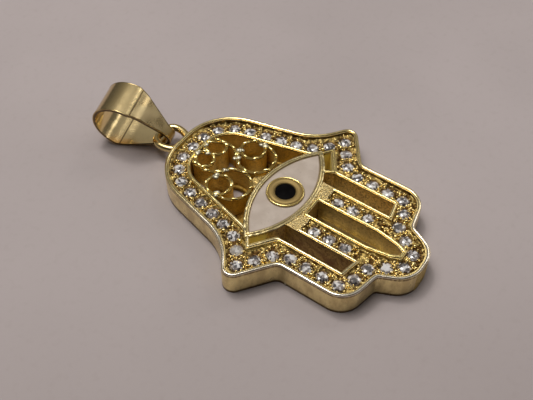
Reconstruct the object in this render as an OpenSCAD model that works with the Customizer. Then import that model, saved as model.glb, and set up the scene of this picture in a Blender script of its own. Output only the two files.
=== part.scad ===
// Hamsa pendant: a pierced cast hand set with small round stones, an enamel eye and a folded bail.
// It lies face up on z = 0. The face is towards +Z, the bail towards +Y and the fingers towards -Y.
// The origin is on the back face, under the middle of the eye. All lengths are in millimetres.

/* [Hand] */
// Width across the two thumb tips
hand_w = 19.1; // [15:0.1:26]
// From the middle of the eye to the top edge of the palm
palm_len = 11.15; // [9:0.05:15]
// From the middle of the eye to the tip of the middle finger
finger_len = 13.2; // [11:0.05:17]
// Width across the outer fingers
fingers_w = 12.85; // [10.5:0.05:17]
// Thickness from the back to the rim's top
body_h = 2.3; // [1.8:0.05:3.5]

/* [Border] */
// Width of the whole border from the outer edge to the pierced windows
border_w = 2.2; // [1.9:0.05:2.6]
// Width of the outer rim
rim_w = 0.34; // [0.2:0.02:0.5]
// Width of the inner rim
inner_rim_w = 0.28; // [0.2:0.02:0.4]
// Depth of the stone channel below the rim's top
channel_depth = 0.42; // [0.25:0.02:0.6]

/* [Stones] */
// Diameter of a stone at its girdle
stone_d = 1.1; // [0.8:0.02:1.2]
// Border stones on each side from below the top stone down to the thumb tip
upper_stones = 10; // [6:1:12]
// Border stones on each side from below the thumb tip round to the fingertip
lower_stones = 10; // [8:1:14]
// From the hand's outer edge to the middle of a border stone
stone_inset = 1.2; // [1.1:0.02:1.3]
// Clearance round a set piece
set_gap = 0.03; // [0.02:0.01:0.06]
// Radius of the gold beads that hold the stones
bead_r = 0.18; // [0.1:0.01:0.2]
// From the middle of the row to a bead
bead_off = 0.42; // [0.3:0.01:0.44]

/* [Finger bars] */
// Width of a finger bar with its two rims
bar_w = 1.94; // [1.7:0.02:2.1]
// Width of the slot between the two bars
mid_slot_w = 1.74; // [1.4:0.02:2.2]
// From the middle of the eye to the slot's square end
slot_top = 2.78; // [2.7:0.02:3.2]
// From the slot's pointed tip to the tip of the middle finger
slot_land = 2.1; // [2:0.05:3]
// Length of the slot's tapered end
slot_taper = 2.6; // [1.5:0.1:3.5]
// How far the slot's walls stand in at the back
slot_lip = 0.15; // [0.05:0.01:0.15]
// Height of the lip at the slot's back
lip_h = 0.4; // [0.2:0.05:0.8]
// From the middle of the eye to a bar's first stone
bar_first = 4.12; // [4.05:0.02:4.5]
// Distance from stone to stone along a bar
bar_pitch = 1.46; // [1.42:0.01:1.6]
// Stones on each bar
bar_stones = 3; // [1:1:3]

/* [Eye] */
// Length of the enamel almond
eye_w = 10.5; // [8:0.1:11.5]
// Height of the enamel almond
eye_h = 4.1; // [3.4:0.05:4.6]
// Width of the bezel round the almond
bezel_w = 0.4; // [0.25:0.02:0.6]
// Height of the bezel's top above the rim's top
bezel_rise = 0.08; // [0:0.01:0.2]
// Thickness of the enamel
enamel_t = 0.3; // [0.2:0.02:0.5]
// How far the enamel lies below the bezel's top
enamel_drop = 0.08; // [0.02:0.01:0.15]
// Outer radius of the iris ring
iris_r = 1.58; // [1.2:0.02:1.8]
// Height of the iris ring above the enamel
iris_rise = 0.26; // [0.1:0.01:0.4]
// Radius of the pupil
pupil_r = 0.86; // [0.6:0.02:1]

/* [Filigree] */
// Thickness of a filigree wall
wire_w = 0.28; // [0.2:0.01:0.36]
// How far the filigree's top lies below the rim's top
filigree_drop = 0.04; // [0.01:0.01:0.2]

/* [Loop] */
// Thickness of the loop's wire
loop_wire = 0.68; // [0.5:0.02:0.72]
// Width of the loop outside
loop_w = 3.3; // [3.2:0.02:4]
// Radius of the loop's corners at the middle of the wire
loop_corner = 0.95; // [0.5:0.05:1.1]
// From the palm's top edge to the loop's outer end
loop_reach = 2.87; // [2.6:0.01:3.6]
// How far the loop's legs have turned inwards where they enter the hand, in degrees
loop_lean = 50; // [20:2:60]
// Height of the loop's middle above the back
loop_z = 1.45; // [1.1:0.05:1.7]

/* [Bail] */
// Outer radius of the bail's round end
bail_r = 2.68; // [2.2:0.02:3.2]
// From the middle of the round end to the middle of the tip's bend
bail_len = 3.65; // [3.5:0.05:5]
// Outer radius of the bend at the tip
bail_tip_r = 0.9; // [0.85:0.01:1]
// Thickness of the folded strip
bail_t = 0.28; // [0.22:0.01:0.34]
// Width of the strip at the round end
bail_w = 3.35; // [2.6:0.05:4]
// Width of the strip at the tip
bail_tip_w = 1.1; // [0.9:0.05:1.2]
// Turn of the bail on the surface, as it lies
bail_yaw = 18; // [-20:1:20]
// Sideways tilt of the bail, as it lies
bail_roll = 7; // [-8:0.5:8]
// From the wire to the tip's bend along the pendant
bail_slack = 0.3; // [0.2:0.01:0.5]
// How far the tip's bend lies to the left of the wire's middle
bail_shift = 0.05; // [0:0.01:0.1]

/* [Hidden] */
$fn = 48;
// Extra length of a cutting tool past the face that it cuts
over = 1;
// How far a joined form reaches into the metal that carries it
bite = 0.3;
// Largest turn of a drawn arc in one step, in degrees
arc_step = 6;
// A fillet smaller than this stays a sharp corner
least_r = 0.05;
// The share of an edge that the fillet at each of its ends may take
fillet_share = 0.49;
// Turn from one set stone to the next, in degrees
stone_turn = 17;
half_w = hand_w / 2;
half_f = fingers_w / 2;
channel_z = body_h - channel_depth;
bezel_z = body_h + bezel_rise;
enamel_top = bezel_z - enamel_drop;
pocket_z = enamel_top - enamel_t;
slot_half = mid_slot_w / 2;
slot_tip = finger_len - slot_land;
taper_top = slot_tip - slot_taper;
bar_mid = slot_half + bar_w / 2;
bar_out = slot_half + bar_w;
filigree_z = body_h - filigree_drop;
stone_r = stone_d / 2;
seat_r = stone_r + set_gap;

// The hand's corners, right side from the top down: x as a share of the half width in the last
// column, y as a share of palm_len or finger_len, fillet as a share of half_w, how much wider the
// border grows inside the stones' row along the edge after the corner, and how much its fillet
// shrinks there for each millimetre.
CX = 0;
CY = 1;
CR = 2;
CB = 3;
CS = 4;
CH = 5;
CORNERS = [
    [0.469, 1.000, 0.503, 1.00, 0.0, half_w], // shoulder of the palm
    [0.725, 0.133, 0.628, 1.00, 0.0, half_w], // waist above the thumb
    [1.072, -0.068, 0.100, 1.40, 0.0, half_w], // thumb tip
    [1.000, -0.280, 0.094, 1.00, 2.8, half_f], // crook under the thumb
    [1.000, -0.753, 0.215, 1.00, 0.0, half_f], // outer fingertip
    [0.463, -0.807, 0.052, 1.00, 0.0, half_f], // cleft beside the middle finger
    [0.275, -1.000, 0.280, 1.00, 0.0, half_f]  // middle fingertip
];
SIDE = len(CORNERS);
THUMB = 2;
CROOK = 3;

function corner_xy(i) =
    let (right = i < SIDE, c = CORNERS[right ? i : 2 * SIDE - 1 - i])
    [(right ? 1 : -1) * c[CX] * c[CH], c[CY] * (c[CY] > 0 ? palm_len : finger_len)];
function corner_share(i, column) = CORNERS[i < SIDE ? i : 2 * SIDE - 1 - i][column];
function corner_r(i, d) =
    corner_share(i, CR) * half_w - corner_share(i, CS) * max(0, d - stone_inset);
function wrap(i) = (i + 2 * SIDE) % (2 * SIDE);
// The border's share belongs to an edge: the right side's edge i starts at corner i.
function edge_share(i) =
    i < SIDE ? CORNERS[i][CB] : i == 2 * SIDE - 1 ? CORNERS[0][CB] : CORNERS[2 * SIDE - 2 - i][CB];
function heading(i) = let (v = corner_xy(wrap(i + 1)) - corner_xy(i)) v / norm(v);
function inward(i) = let (h = heading(i)) [h[1], -h[0]];
// How far edge j moves in for an inset of d.
function moved(j, d) = d + max(0, d - stone_inset) * (edge_share(j) - 1);
function cross2(a, b) = a[0] * b[1] - a[1] * b[0];
// Corner i moved in by d: where the two moved edges meet.
function inset_xy(i, d) =
    let (
        j = wrap(i - 1),
        p = corner_xy(i) + inward(j) * moved(j, d),
        q = corner_xy(i) + inward(i) * moved(i, d),
        u = heading(j),
        v = heading(i)
    )
    p + u * cross2(q - p, v) / cross2(u, v);
function turn_at(i) = let (u = heading(wrap(i - 1)), v = heading(i)) asin(cross2(u, v));
function turn_full(i) =
    let (u = heading(wrap(i - 1)), v = heading(i), t = turn_at(i))
    u * v >= 0 ? t : sign(t) * (180 - abs(t));
// Points of the fillet at corner i, moved in by d. A right-hand turn is an outer corner.
function fillet(i, d) =
    let (
        c = inset_xy(i, d),
        t = turn_full(i),
        room = min(norm(inset_xy(wrap(i + 1), d) - c), norm(inset_xy(wrap(i - 1), d) - c)) * fillet_share,
        wanted = corner_r(i, d) + (t < 0 ? -d : d),
        r = min(wanted, room / tan(abs(t) / 2)),
        u = heading(wrap(i - 1)),
        side = t < 0 ? [u[1], -u[0]] : [-u[1], u[0]],
        start = c - u * r * tan(abs(t) / 2),
        steps = ceil(abs(t) / arc_step)
    )
    r < least_r ? [c] : [
        for (k = [0:steps])
            let (a = t * k / steps)
            start + side * r + r * [
                -side[0] * cos(a) + side[1] * sin(a),
                -side[0] * sin(a) - side[1] * cos(a)
            ]
    ];
function outline(d) = [for (i = [0:2 * SIDE - 1]) each fillet(i, d)];

// Running length along a list of points, and the point at length s.
function running(p) = [
    for (i = 0, c = 0; i < len(p); c = i + 1 < len(p) ? c + norm(p[i + 1] - p[i]) : c, i = i + 1) c
];
function along(p, c, s) = [
    lookup(s, [for (k = [0:len(p) - 1]) [c[k], p[k][0]]]),
    lookup(s, [for (k = [0:len(p) - 1]) [c[k], p[k][1]]])
];

// The row of border stones, in two runs on the right: top to thumb tip, thumb tip to fingertip.
thumb_xy = inset_xy(THUMB, stone_inset);
upper_run = concat(
    [[0, palm_len - stone_inset]],
    [for (i = [0:THUMB - 1]) each fillet(i, stone_inset)],
    [thumb_xy]
);
lower_run = concat(
    [thumb_xy],
    [for (i = [THUMB + 1:SIDE - 1]) each fillet(i, stone_inset)],
    [[0, stone_inset - finger_len]]
);
upper_c = running(upper_run);
lower_c = running(lower_run);
upper_len = upper_c[len(upper_c) - 1];
lower_len = lower_c[len(lower_c) - 1];
upper_step = upper_len / upper_stones;
lower_step = lower_len / (lower_stones + 0.5);
side_n = upper_stones + lower_stones;
// Place k steps from the top stone on the right side; k may be a half, for the beads between.
function row_xy(k) =
    k <= upper_stones ? along(upper_run, upper_c, k * upper_step)
                      : along(lower_run, lower_c, (k - upper_stones) * lower_step);
function mirrored(p) = [-p[0], p[1]];
stone_spots = concat(
    [row_xy(0)],
    [for (k = [1:side_n]) row_xy(k)],
    [for (k = [1:side_n]) mirrored(row_xy(k))]
);
function stone_name(i) = str("stone_", i < 9 ? "0" : "", i + 1);
bar_spots = [for (k = [0:bar_stones - 1]) [bar_mid, -bar_first - k * bar_pitch]];

// The almond: two arcs through the corners. Its arcs' radius and the drop of their middles.
eye_arc = (pow(eye_w / 2, 2) + pow(eye_h / 2, 2)) / eye_h;
eye_sink = eye_arc - eye_h / 2;
bezel_out = eye_h / 2 + bezel_w;

// The filigree's rings fill the window above the bezel: middle x as a share of its half width,
// middle y as a share of its height, and radius as a share of the larger of the two, so that
// neighbours still meet when only one of them grows.
window_w = half_w - border_w;
window_h = palm_len - border_w - bezel_out;
WINDOW_ASPECT = 0.884;
ring_unit = max(window_w, window_h / WINDOW_ASPECT);
CROWN = [0.122, 0.853, 0.122];
SIDES = [0.340, 0.414, 0.147];
LOWER = [0.249, 0.283, 0.231];
ARCH = [0, 0.746, 0.245];
// The arch's ring is open below this share of the window's height.
ARCH_OPEN = 0.5;
function ring_xy(g) = [g[0] * window_w, bezel_out + g[1] * window_h];
function ring_r(g) = g[2] * ring_unit;

// The loop and the bail that hangs on it.
leg_x = (loop_w - loop_wire) / 2;
wire_y = palm_len + loop_reach - loop_wire / 2;
corner_x = leg_x - loop_corner;
corner_y = wire_y - loop_corner;
leg_r = (corner_y - palm_len + rim_w) / sin(loop_lean);
bail_half = bail_w / 2;
tip_half = bail_tip_w / 2;
// The pitch that lays the round end on z = 0, found in three steps because the tilt depends on it.
// The lowest point is on the strip's edge, where the strip has begun to taper.
LAY_GUESS = 20;
function belly_half(pitch) = tip_half + (bail_half - tip_half) * (1 - bail_r * sin(pitch) / bail_len);
function belly_z(pitch) =
    let (slope = abs(sin(bail_roll)) * cos(pitch))
    bail_r * sqrt(1 - pow(slope, 2)) + belly_half(pitch) * slope;
function laid(pitch) = asin((belly_z(pitch) - loop_z) / bail_len);
bail_pitch = laid(laid(laid(LAY_GUESS)));

// The slot's pointed end: half widths as shares of slot_half, at shares of the taper's length.
SLOT_END = [[1, 0], [0.62, 0.72], [0.22, 1]];

// The iris ring's top, from the outside in: shares of the band's width and of iris_rise.
IRIS_TOP = [[0, 0.15], [0.08, 0.45], [0.28, 0.85], [0.5, 1], [0.74, 0.92], [0.92, 0.7], [1, 0.45]];
// The pupil's floor below the enamel's top as a share of enamel_t, and its dome as one of iris_rise.
PUPIL_DEPTH = 0.4;
PUPIL_DOME = 0.3;
pupil_z = enamel_top - enamel_t * PUPIL_DEPTH;

// A round brilliant, as shares of the girdle's radius.
TABLE_R = 0.56;
STAR_R = 0.79;
LOWER_R = 0.25;
CROWN_H = 0.32;
GIRDLE_H = 0.06;
PAVILION_H = 0.84;

module slab(points, z0, z1)
    translate([0, 0, z0])
    linear_extrude(z1 - z0)
    polygon(points);

// Both sides of the hand.
module pair() {
    children();
    mirror([1, 0, 0])
    children();
}

module ring(g, z0, z1)
    translate(concat(ring_xy(g), [z0]))
    difference() {
        cylinder(r = ring_r(g) + wire_w / 2, h = z1 - z0);
        translate([0, 0, -over])
        cylinder(r = ring_r(g) - wire_w / 2, h = z1 - z0 + 2 * over);
    }

module ring_hole(g, z0, z1)
    translate(concat(ring_xy(g), [z0]))
    cylinder(r = ring_r(g), h = z1 - z0);

// The almond grown by g, from z0 to z1.
module almond(g, z0, z1)
    intersection_for (s = [-1, 1])
        translate([0, s * eye_sink, z0])
        cylinder(r = eye_arc + g, h = z1 - z0);

// The slot between the bars: square at the eye, pointed at the fingertip, grown by g.
module mid_slot(g, z0, z1) {
    taper = slot_taper + g;
    right = concat(
        [[slot_half + g, -slot_top + g]],
        [for (s = SLOT_END) [slot_half * s[0] + g, -taper_top - taper * s[1]]]
    );
    slab(concat(right, [for (k = [len(right) - 1:-1:0]) mirrored(right[k])]), z0, z1);
}

// What stays as high as the rim inside the stone channel.
module islands(z0, z1) {
    difference() {
        slab(outline(border_w - inner_rim_w), z0, z1);
        translate([-bar_out + inner_rim_w, -finger_len, z0 - over])
        cube([
            2 * (bar_out - inner_rim_w),
            finger_len - bar_first + bar_pitch / 2 + bead_r,
            z1 - z0 + 2 * over
        ]);
    }
    mid_slot(inner_rim_w, z0, z1);
}

module channel_cut()
    difference() {
        slab(outline(rim_w), channel_z, body_h + over);
        islands(channel_z - over, body_h + 2 * over);
    }

// The pierced windows, before the filigree goes in.
module windows_cut() {
    difference() {
        slab(outline(border_w), -over, body_h + over);
        almond(bezel_w, -2 * over, body_h + 2 * over);
        translate([-bar_out, -finger_len, -2 * over])
        cube([2 * bar_out, finger_len, body_h + 4 * over]);
    }
    mid_slot(0, lip_h, body_h + over);
    mid_slot(-slot_lip, -over, body_h + over);
}

module seats() {
    for (p = stone_spots)
        translate(concat(p, [channel_z - stone_r]))
        cylinder(r = seat_r, h = stone_d);
    pair()
    for (p = bar_spots)
        translate(concat(p, [channel_z - stone_r]))
        cylinder(r = seat_r, h = stone_d);
}

// Two beads between each pair of neighbours, one on each side of the row.
module beads() {
    for (k = [0:side_n - 1])
        let (m = row_xy(k + 0.5), t = row_xy(k + 0.6) - row_xy(k + 0.4), n = [t[1], -t[0]] / norm(t))
        for (s = [-1, 1])
            pair()
            bead(m + n * s * bead_off);
    bead([0, row_xy(side_n)[1] + bead_off / 2]);
    bead([0, row_xy(side_n)[1] - bead_off]);
    for (k = [-1:bar_stones - 1])
        for (s = [-1, 1])
            pair()
            bead([bar_mid + s * bead_off, -bar_first - (k + 0.5) * bar_pitch]);
}

module bead(p)
    translate(concat(p, [channel_z]))
    sphere(r = bead_r);

module filigree()
    intersection() {
        slab(outline(border_w - inner_rim_w / 2), 0, filigree_z);
        union() {
            pair() {
                ring(CROWN, -over, body_h + over);
                ring(SIDES, -over, body_h + over);
                difference() {
                    ring(LOWER, -over, body_h + over);
                    ring_hole(SIDES, -2 * over, body_h + 2 * over);
                }
            }
            difference() {
                ring(ARCH, -over, body_h + over);
                pair() {
                    ring_hole(SIDES, -2 * over, body_h + 2 * over);
                    ring_hole(LOWER, -2 * over, body_h + 2 * over);
                }
                translate([-ring_r(ARCH) / 2, bezel_out, -2 * over])
                cube([ring_r(ARCH), window_h * ARCH_OPEN, body_h + 4 * over]);
            }
            filigree_web();
        }
    }

// The small gold field where the two lower rings meet the bezel.
module filigree_web()
    difference() {
        translate([-ring_xy(LOWER)[0] / 2, bezel_out - bite, -over])
        cube([ring_xy(LOWER)[0], ring_r(LOWER) / 2 + bite, filigree_z - wire_w + over]);
        pair()
        ring_hole(LOWER, -2 * over, body_h + 2 * over);
    }

// The short wall that closes one thumb's window, from the crook's inner corner to the bezel.
module thumb_bar() {
    root = inset_xy(CROOK, border_w - inner_rim_w / 2);
    to_arc = [-root[0], eye_sink - root[1]];
    translate(concat(root, [0]))
    rotate([0, 0, atan2(to_arc[1], to_arc[0])])
    translate([0, -inner_rim_w / 2, 0])
    cube([norm(to_arc) - eye_arc - bezel_w / 2, inner_rim_w, body_h]);
}

// The iris ring's section, turned round the eye's middle.
module iris_ring() {
    band = iris_r - pupil_r - set_gap;
    rotate_extrude()
    polygon([
        [0, pocket_z - bite],
        [iris_r, pocket_z - bite],
        for (s = IRIS_TOP) [iris_r - band * s[0], enamel_top + iris_rise * s[1]],
        [iris_r - band, pupil_z],
        [0, pupil_z]
    ]);
}

// The loop: a short straight bar that the bail swings on, two round corners and two bowed legs.
module hang_loop() {
    translate([-corner_x, wire_y, loop_z])
    rotate([0, 90, 0])
    cylinder(d = loop_wire, h = 2 * corner_x);
    pair() {
        loop_arc(corner_x, loop_corner, 0, 90);
        loop_arc(leg_x - leg_r, leg_r, -loop_lean, loop_lean);
    }
}

// An arc of the loop's wire of radius r round [x, corner_y], from angle a on by turn.
module loop_arc(x, r, a, turn)
    translate([x, corner_y, loop_z])
    rotate([0, 0, a])
    rotate_extrude(angle = turn)
    translate([r, 0])
    circle(d = loop_wire);

module hand_body()
    color("gold") {
        difference() {
            union() {
                difference() {
                    slab(outline(0), 0, body_h);
                    channel_cut();
                    windows_cut();
                }
                almond(bezel_w, 0, bezel_z);
                filigree();
                thumb_bar();
                beads();
            }
            almond(0, pocket_z, bezel_z + over);
            seats();
        }
        iris_ring();
        hang_loop();
    }

module eye_enamel()
    color("white")
    difference() {
        almond(-set_gap, pocket_z + set_gap, enamel_top);
        translate([0, 0, pocket_z - over])
        cylinder(r = iris_r + set_gap, h = enamel_t + 2 * over);
    }

module eye_pupil() {
    floor_z = pupil_z + set_gap;
    rim_z = enamel_top + iris_rise * IRIS_TOP[len(IRIS_TOP) - 1][1];
    dome = iris_rise * PUPIL_DOME;
    dome_r = (pow(pupil_r, 2) + pow(dome, 2)) / (2 * dome);
    color("black")
    intersection() {
        translate([0, 0, floor_z])
        cylinder(r = pupil_r, h = rim_z + dome - floor_z);
        translate([0, 0, rim_z + dome - dome_r])
        sphere(r = dome_r);
    }
}

// The bail's own frame: the tip's bend is at the origin, the round end along +Y, the strip's
// width along X. The section grown by g, wide enough to be cut to the taper.
module bail_section(g) {
    big = bail_r + g;
    tip = bail_tip_r + g;
    lean = asin((bail_r - bail_tip_r) / bail_len);
    rotate([90, 0, 90])
    translate([0, 0, -bail_half - over + g])
    linear_extrude(bail_w + 2 * over - 2 * g)
    union() {
        circle(r = tip);
        translate([bail_len, 0])
        circle(r = big);
        polygon([
            [-tip * sin(lean), tip * cos(lean)],
            [-tip * sin(lean), -tip * cos(lean)],
            [bail_len - big * sin(lean), -big * cos(lean)],
            [bail_len - big * sin(lean), big * cos(lean)]
        ]);
    }
}

module bail_taper() {
    tall = bail_r + over;
    slab([
        [-tip_half, -bail_tip_r - over],
        [-tip_half, 0],
        [-bail_half, bail_len],
        [-bail_half, bail_len + bail_r + over],
        [bail_half, bail_len + bail_r + over],
        [bail_half, bail_len],
        [tip_half, 0],
        [tip_half, -bail_tip_r - over]
    ], -tall, tall);
}

module bail()
    color("goldenrod")
    translate([-bail_shift, wire_y - bail_slack, loop_z])
    rotate([0, 0, bail_yaw])
    rotate([bail_pitch, 0, 0])
    rotate([0, -bail_roll, 0])
    intersection() {
        difference() {
            bail_section(0);
            bail_section(-bail_t);
        }
        bail_taper();
    }

function spin(n, r, z, a0) = [
    for (k = [0:n - 1]) [r * cos(a0 + k * 360 / n), r * sin(a0 + k * 360 / n), z]
];

// A round brilliant with its girdle's top at z = 0: 33 facets above the girdle, 24 below.
module brilliant(r) {
    flat = cos(22.5);
    star_z = r * CROWN_H * (1 - (STAR_R * flat - TABLE_R) / (1 - TABLE_R));
    low_z = -r * (GIRDLE_H + PAVILION_H * (1 - LOWER_R * flat));
    points = concat(
        spin(8, r * TABLE_R, r * CROWN_H, 0),
        spin(8, r * STAR_R, star_z, 22.5),
        spin(16, r, 0, 0),
        spin(16, r, -r * GIRDLE_H, 0),
        spin(8, r * LOWER_R, low_z, 22.5),
        [[0, 0, -r * (GIRDLE_H + PAVILION_H)]]
    );
    star = 8;
    top = 16;
    bottom = 32;
    low = 48;
    culet = 56;
    faces = concat(
        [[for (k = [7:-1:0]) k]],
        [for (k = [0:7]) [k, (k + 1) % 8, star + k]],
        [for (k = [0:7]) [k, star + k, top + 2 * k]],
        [for (k = [0:7]) [k, top + 2 * k, star + (k + 7) % 8]],
        [for (k = [0:7]) [star + k, top + 2 * k + 1, top + 2 * k]],
        [for (k = [0:7]) [star + k, top + (2 * k + 2) % 16, top + 2 * k + 1]],
        [for (k = [0:15]) [top + k, top + (k + 1) % 16, bottom + (k + 1) % 16, bottom + k]],
        [for (k = [0:7]) [low + k, bottom + 2 * k, bottom + 2 * k + 1]],
        [for (k = [0:7]) [low + k, bottom + 2 * k + 1, bottom + (2 * k + 2) % 16]],
        [for (k = [0:7]) [culet, bottom + 2 * k, low + k]],
        [for (k = [0:7]) [culet, low + (k + 7) % 8, bottom + 2 * k]]
    );
    polyhedron(points = points, faces = faces);
}

module set_stone(p, turn)
    color("lightcyan")
    translate(concat(p, [channel_z + stone_r * GIRDLE_H / 2]))
    rotate([0, 0, turn])
    brilliant(stone_r);

// Each stone is turned a little further than the last, as set stones are.
module border_stone(i)
    set_stone(stone_spots[i], i * stone_turn);

module bar_stones_right()
    for (k = [0:bar_stones - 1])
        set_stone(bar_spots[k], k * stone_turn);

module bar_stones_left()
    for (k = [0:bar_stones - 1])
        set_stone(mirrored(bar_spots[k]), (k + 0.5) * stone_turn);

hand_body();
eye_enamel();
eye_pupil();
bail();
bar_stones_right();
bar_stones_left();
for (i = [0:len(stone_spots) - 1])
    border_stone(i);
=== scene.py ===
"""Looks for a hamsa pendant: a pierced gold hand with set stones, an enamel eye and a folded bail.

Lengths in this file are in millimetres until a mesh is made, which turns them into metres.
"""

import math
from collections import namedtuple
from types import SimpleNamespace

import bpy
import numpy as np
from mathutils import Matrix, Vector
from numpy.linalg import norm
from numpy.random import RandomState


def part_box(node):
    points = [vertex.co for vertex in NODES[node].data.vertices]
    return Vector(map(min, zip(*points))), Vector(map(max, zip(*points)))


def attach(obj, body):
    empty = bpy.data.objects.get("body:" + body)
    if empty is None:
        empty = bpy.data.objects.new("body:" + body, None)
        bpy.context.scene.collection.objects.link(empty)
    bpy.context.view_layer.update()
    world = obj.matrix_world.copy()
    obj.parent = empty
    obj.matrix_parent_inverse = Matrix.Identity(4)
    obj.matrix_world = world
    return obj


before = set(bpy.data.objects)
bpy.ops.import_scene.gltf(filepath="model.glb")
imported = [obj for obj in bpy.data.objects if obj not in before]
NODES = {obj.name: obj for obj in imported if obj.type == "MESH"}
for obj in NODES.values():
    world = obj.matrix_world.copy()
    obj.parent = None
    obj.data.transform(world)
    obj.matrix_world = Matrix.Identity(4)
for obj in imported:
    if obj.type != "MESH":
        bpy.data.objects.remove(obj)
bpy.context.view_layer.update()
scene = bpy.context.scene
MM = 0.001

# The camera, as fitted to the photograph. Its angles are in degrees.

CAM_TARGET = (-1.4071, 0.9446, 2.03)
CAM_DISTANCE = 65.53
CAM_AZIMUTH = -55.045
CAM_ELEVATION = 50.340
CAM_ROLL = 0.149
CAM_LENS = 52.55
CAM_SENSOR = 36.0
CAM_CLIP = (1, 5000)


def make_camera():
    az, el = math.radians(CAM_AZIMUTH), math.radians(CAM_ELEVATION)
    back = Vector((math.sin(az) * math.cos(el), -math.cos(az) * math.cos(el), math.sin(el)))
    right = Vector((0, 0, 1)).cross(back).normalized()
    up = back.cross(right)
    roll = Matrix.Rotation(math.radians(CAM_ROLL), 3, back)
    right, up = roll @ right, roll @ up
    data = bpy.data.cameras.new("camera")
    data.lens = CAM_LENS
    data.sensor_width = CAM_SENSOR
    data.sensor_fit = "HORIZONTAL"
    data.clip_start, data.clip_end = CAM_CLIP[0] * MM, CAM_CLIP[1] * MM
    camera = bpy.data.objects.new("camera", data)
    turn = Matrix((right, up, back)).transposed().to_4x4()
    place = (Vector(CAM_TARGET) + back * CAM_DISTANCE) * MM
    camera.matrix_world = Matrix.Translation(place) @ turn
    scene.collection.objects.link(camera)
    scene.camera = camera


make_camera()

# Sizes shared with the solid. The bail's angles are in degrees.

PALM_LEN = 11.15
FINGER_LEN = 13.2
HALF_W = 9.55
HALF_F = 6.425
BODY_H = 2.3
BORDER_W = 2.2
BAIL_PLACE = (-0.05, 13.38, 1.45)
BAIL_YAW = 18
BAIL_PITCH = 22
BAIL_ROLL = -7
BAIL_TURN = (
    Matrix.Rotation(math.radians(BAIL_YAW), 3, "Z")
    @ Matrix.Rotation(math.radians(BAIL_PITCH), 3, "X")
    @ Matrix.Rotation(math.radians(BAIL_ROLL), 3, "Y")
)
BAIL_R = 2.68
BAIL_TIP_R = 0.9
BAIL_LEN = 3.65
BAIL_HALF = 1.675
BAIL_TIP_HALF = 0.55
BAIL_LEAN = math.asin((BAIL_R - BAIL_TIP_R) / BAIL_LEN)
BAIL_CREASE = 3.3
RIM_W = 0.34
INNER_RIM_W = 0.28
CHANNEL_Z = 1.88
STONE_D = 1.1
STONE_INSET = 1.2
BAR_IN = 0.87
BAR_OUT = 2.81
BAR_MID = 1.84
BAR_FIRST = 4.12
BAR_PITCH = 1.46
SLOT_TOP = 2.78
SLOT_TAPER = 8.5
SLOT_TIP = 11.1
# The slot's pointed end, in shares of its half width and of its taper.
SLOT_END = ((1, 0), (0.62, 0.72), (0.22, 1))
EYE_W = 10.5
EYE_H = 4.1
BEZEL_W = 0.4
BEZEL_Z = 2.38
IRIS_R = 1.58
FILIGREE_Z = 2.26
WINDOW_W = HALF_W - BORDER_W
BEZEL_OUT = EYE_H / 2 + BEZEL_W
WINDOW_H = PALM_LEN - BORDER_W - BEZEL_OUT
EYE_ARC = ((EYE_W / 2) ** 2 + (EYE_H / 2) ** 2) / EYE_H
EYE_SINK = EYE_ARC - EYE_H / 2
CROOK = 3
CROOK_SHARPENING = 2.8
# A fillet takes at most this share of a side, and one under this radius is left sharp.
FILLET_SHARE = 0.49
LEAST_FILLET = 0.05
# A fillet's turn from point to point, in degrees.
FILLET_STEP = 6.0

# The solid's own corners: x share, y share, fillet share, border share and half width.
CORNERS = [
    (0.469, 1.000, 0.503, 1.00, HALF_W),
    (0.725, 0.133, 0.628, 1.00, HALF_W),
    (1.072, -0.068, 0.100, 1.40, HALF_W),
    (1.000, -0.280, 0.094, 1.00, HALF_F),
    (1.000, -0.753, 0.215, 1.00, HALF_F),
    (0.463, -0.807, 0.052, 1.00, HALF_F),
    (0.275, -1.000, 0.280, 1.00, HALF_F),
]
SIDE = len(CORNERS)
# The filigree's rings: the middle's x and y shares of the palm's window, and the radius's share.
CROWN = (0.122, 0.853, 0.122)
SIDES = (0.340, 0.414, 0.147)
LOWER = (0.249, 0.283, 0.231)
ARCH = (0.0, 0.746, 0.245)


def corner(i):
    """Corner i and its fillet's radius. The left side mirrors the right."""
    i %= 2 * SIDE
    c = CORNERS[i] if i < SIDE else CORNERS[2 * SIDE - 1 - i]
    x = (1 if i < SIDE else -1) * c[0] * c[4]
    return np.array([x, c[1] * (PALM_LEN if c[1] > 0 else FINGER_LEN)]), c[2] * HALF_W


def sharpening(i, d):
    """How much smaller the crooks' fillets get when moved in by d."""
    return CROOK_SHARPENING * max(0, d - STONE_INSET) if i in (CROOK, 2 * SIDE - 1 - CROOK) else 0


def edge_share(j):
    """The border share of the edge from corner j to the next."""
    j %= 2 * SIDE
    if j < SIDE:
        return CORNERS[j][3]
    return CORNERS[0][3] if j == 2 * SIDE - 1 else CORNERS[2 * SIDE - 2 - j][3]


def cross2(a, b):
    return a[0] * b[1] - a[1] * b[0]


def heading(j):
    v = corner(j + 1)[0] - corner(j)[0]
    return v / norm(v)


def inset_corner(i, d):
    """Corner i of the outline moved in by d."""
    def moved(j):
        h = heading(j)
        shift = d + max(0, d - STONE_INSET) * (edge_share(j) - 1)
        return corner(i)[0] + np.array([h[1], -h[0]]) * shift
    p, q, u, v = moved(i - 1), moved(i), heading(i - 1), heading(i)
    return p + u * cross2(q - p, v) / cross2(u, v)


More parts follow.
